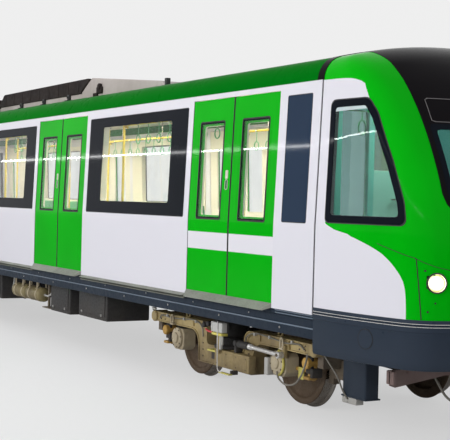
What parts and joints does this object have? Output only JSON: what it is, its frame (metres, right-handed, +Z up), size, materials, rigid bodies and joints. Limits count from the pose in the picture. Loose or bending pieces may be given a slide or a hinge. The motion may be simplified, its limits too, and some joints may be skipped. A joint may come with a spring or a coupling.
{
  "type": "metro car",
  "caption": "Metro rail car with one driving cab, green doors and white sides, roof cooling units, gangway end and two motor bogies",
  "frame": {"origin": "on the ground plane through the lowest points of the wheel flanges, below the middle of the car", "axes": "+X forward to the cab end, +Y to the left side, +Z up; rails would lie 28 mm above the origin"},
  "size_m": [19.2, 3, 3.6418],
  "materials": {
    "green_paint": "gloss body paint, bright green",
    "white_paint": "gloss body paint, lilac white",
    "black_mask": "gloss black",
    "dark_paint": "dark blue-grey paint",
    "roof_paint": "green roof paint",
    "unit_paint": "grey paint",
    "cream_paint": "cream underframe paint",
    "tinted_glass": "tinted safety glass",
    "clear_glass": "green-tinted safety glass",
    "lamp": "lamp lens",
    "interior_panel": "warm white interior lining",
    "teal_panel": "teal partition",
    "seat_shell": "moulded seat",
    "pole": "yellow powder coat",
    "floor": "floor covering",
    "bellows": "folded rubber fabric",
    "seal": "black rubber",
    "steel": "machined steel",
    "wheel_steel": "worn wheel steel",
    "cast": "painted casting",
    "step_metal": "bare aluminium"
  },
  "bodies": {
    "car_body": {"side_wall_right": "white_paint", "side_wall_left": "white_paint", "doors_right": "green_paint", "doors_left": "green_paint", "window_glass_right": "tinted_glass", "window_glass_left": "tinted_glass", "roof_shell": "roof_paint", "ceiling": "interior_panel", "rear_end_wall": "dark_paint", "gangway": "bellows", "cab_shell": "green_paint", "cab_mask": "black_mask", "cab_glass": "clear_glass", "headlights": "lamp", "cab_bumper": "dark_paint", "cab_seam_seal": "seal", "underframe": "floor", "sole_bars": "dark_paint", "step_plates": "step_metal", "bolsters": "cast", "coupler_mount": "cast", "deflectors": "dark_paint", "rear_drawbar": "cast", "air_tanks": "cream_paint", "equipment_boxes": "cream_paint", "hvac_units": "unit_paint", "cab_partition": "teal_panel", "cab_desk": "interior_panel", "seats": "seat_shell", "grab_poles": "pole"},
    "coupler_arm": {"coupler": "cast"},
    "front_bogie": {"front_bogie_frame": "cream_paint", "front_axle_boxes": "cast", "front_springs": "seal", "front_drives": "cast", "front_brakes": "cast", "front_dampers": "steel"},
    "rear_bogie": {"rear_bogie_frame": "cream_paint", "rear_axle_boxes": "cast", "rear_springs": "seal", "rear_drives": "cast", "rear_brakes": "cast", "rear_dampers": "steel"},
    "wheelset_body_1": {"wheelset_1": "wheel_steel"},
    "wheelset_body_2": {"wheelset_2": "wheel_steel"},
    "wheelset_body_3": {"wheelset_3": "wheel_steel"},
    "wheelset_body_4": {"wheelset_4": "wheel_steel"}
  },
  "joints": [
    {"name": "front_bogie_yaw", "type": "hinge", "parent": "car_body", "child": "front_bogie", "pos_m": [5.59, 0, 0.448], "axis": [0, 0, 1], "range_deg": [-5, 5]},
    {"name": "rear_bogie_yaw", "type": "hinge", "parent": "car_body", "child": "rear_bogie", "pos_m": [-6.41, 0, 0.448], "axis": [0, 0, 1], "range_deg": [-5, 5]},
    {"name": "wheelset_1_spin", "type": "hinge", "parent": "front_bogie", "child": "wheelset_body_1", "pos_m": [6.64, 0, 0.448], "axis": [0, 1, 0], "continuous": true},
    {"name": "wheelset_2_spin", "type": "hinge", "parent": "front_bogie", "child": "wheelset_body_2", "pos_m": [4.54, 0, 0.448], "axis": [0, 1, 0], "continuous": true},
    {"name": "wheelset_3_spin", "type": "hinge", "parent": "rear_bogie", "child": "wheelset_body_3", "pos_m": [-5.36, 0, 0.448], "axis": [0, 1, 0], "continuous": true},
    {"name": "wheelset_4_spin", "type": "hinge", "parent": "rear_bogie", "child": "wheelset_body_4", "pos_m": [-7.46, 0, 0.448], "axis": [0, 1, 0], "continuous": true},
    {"name": "coupler_yaw", "type": "hinge", "parent": "car_body", "child": "coupler_arm", "pos_m": [8.05, 0, 0.678], "axis": [0, 0, 1], "range_deg": [-12, 12]}
  ]
}
